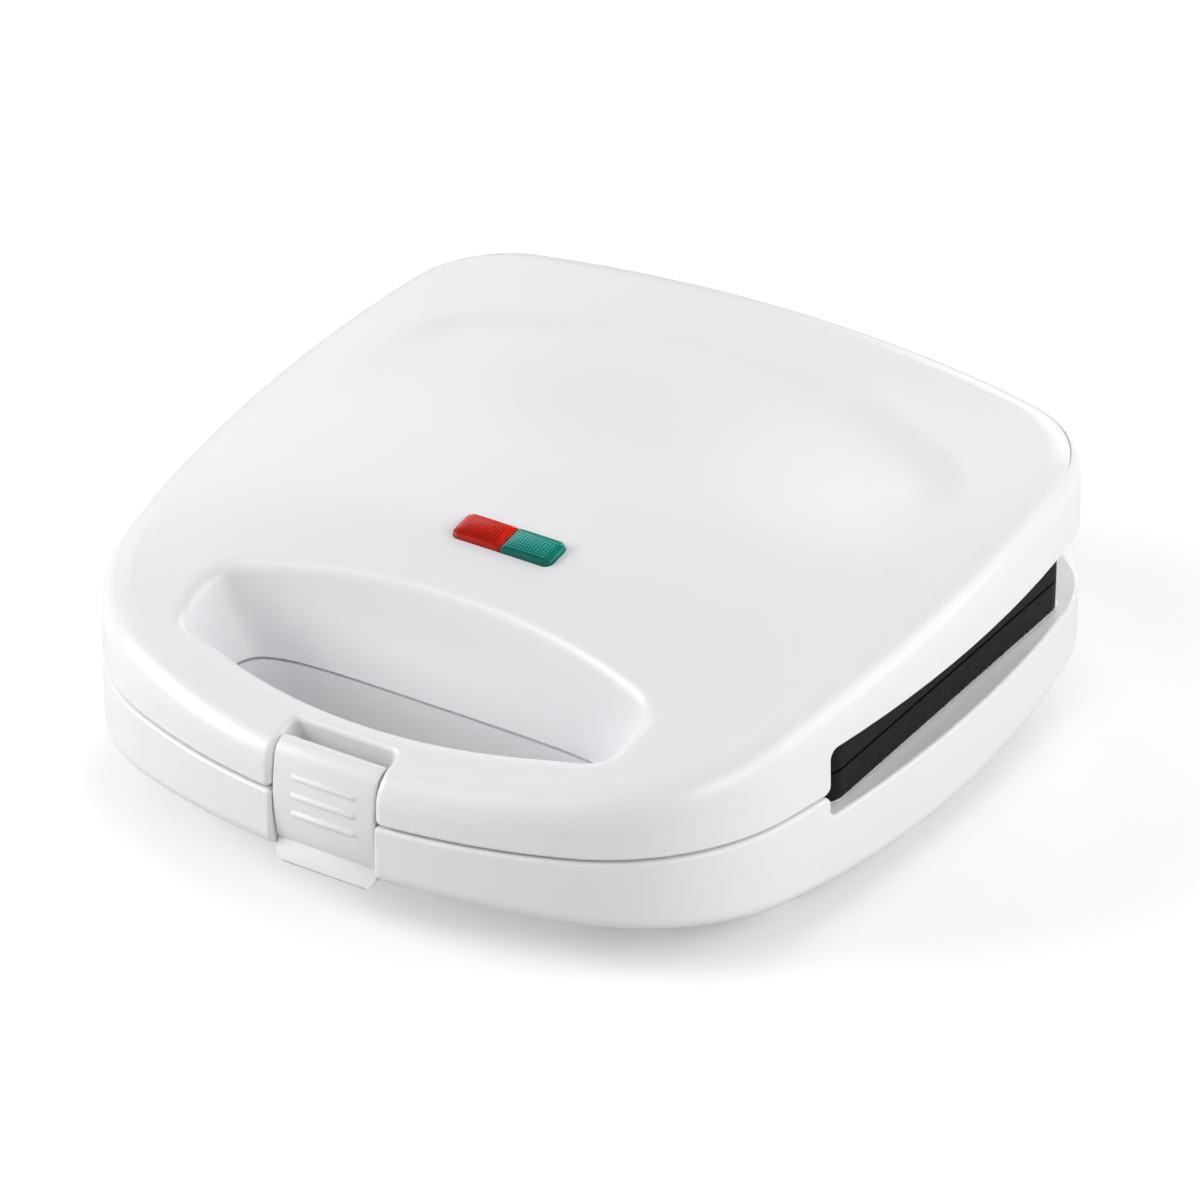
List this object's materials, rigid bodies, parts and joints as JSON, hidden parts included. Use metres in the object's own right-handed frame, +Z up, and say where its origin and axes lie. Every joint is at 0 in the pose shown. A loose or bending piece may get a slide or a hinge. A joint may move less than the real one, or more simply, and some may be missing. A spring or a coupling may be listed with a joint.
{
  "type": "donut maker",
  "caption": "Hinged countertop donut maker with a white domed lid, a grip at the front, a ribbed latch, two lamp windows and dark ring plates.",
  "frame": {"origin": "on the table under the middle of the housing", "axes": "+X to the right seen from the latch, +Y from the latch to the hinge, +Z up"},
  "size_m": [0.23, 0.2451, 0.0768],
  "materials": {
    "white_shell": "glossy cool white",
    "white_satin": "satin white",
    "latch_satin": "satin, slightly warmer white",
    "foot_grey": "matt light grey",
    "dark_coating": "cast plate with a dark speckled non-stick coating",
    "bright_steel": "bright pressed sheet",
    "heater_steel": "heat-darkened sheath",
    "lock_grey": "satin grey",
    "pin_steel": "plain steel",
    "red_lens": "translucent red with a moulded dot grid",
    "green_lens": "translucent blue-green with a moulded dot grid",
    "board_green": "lamp board",
    "lamp_glass": "clear lamp",
    "ceramic_brown": "brown thermostat case",
    "lead_sleeve": "woven white sleeve",
    "ceramic_white": "white terminal block",
    "inlet_grey": "satin light grey"
  },
  "bodies": {
    "base": {"base_housing": "white_shell", "base_cover": "white_satin", "feet": "foot_grey", "lower_plate": "dark_coating", "lower_heat_shield": "bright_steel", "lower_heater": "heater_steel", "lower_heater_clips": "bright_steel", "terminal_block": "ceramic_white", "cord_inlet": "inlet_grey", "base_screws": "pin_steel", "hinge_pins": "pin_steel"},
    "lid": {"lid_housing": "white_shell", "lid_frame": "white_satin", "upper_plate": "dark_coating", "upper_heat_shield": "bright_steel", "upper_heater": "heater_steel", "upper_heater_clips": "bright_steel", "latch_pin": "pin_steel", "lid_screws": "pin_steel", "red_lens": "red_lens", "green_lens": "green_lens", "lamp_board": "board_green", "indicator_lamps": "lamp_glass", "thermostat": "ceramic_brown", "thermal_fuse": "bright_steel", "lid_leads": "lead_sleeve"},
    "latch": {"front_latch": "latch_satin"},
    "lower_lock": {"lower_plate_lock": "lock_grey"},
    "upper_lock": {"upper_plate_lock": "lock_grey"}
  },
  "joints": [
    {"name": "lid_hinge", "type": "hinge", "parent": "base", "child": "lid", "pos_m": [0, 0.116, 0.042], "axis": [-1, 0, 0], "range_deg": [0, 100]},
    {"name": "latch_pivot", "type": "hinge", "parent": "lid", "child": "latch", "pos_m": [0, -0.117, 0.046], "axis": [-1, 0, 0], "range_deg": [0, 40]},
    {"name": "lower_plate_lock_slide", "type": "slide", "parent": "base", "child": "lower_lock", "axis": [1, 0, 0], "range_m": [0, 0.012]},
    {"name": "upper_plate_lock_slide", "type": "slide", "parent": "lid", "child": "upper_lock", "axis": [-1, 0, 0], "range_m": [0, 0.012]}
  ]
}
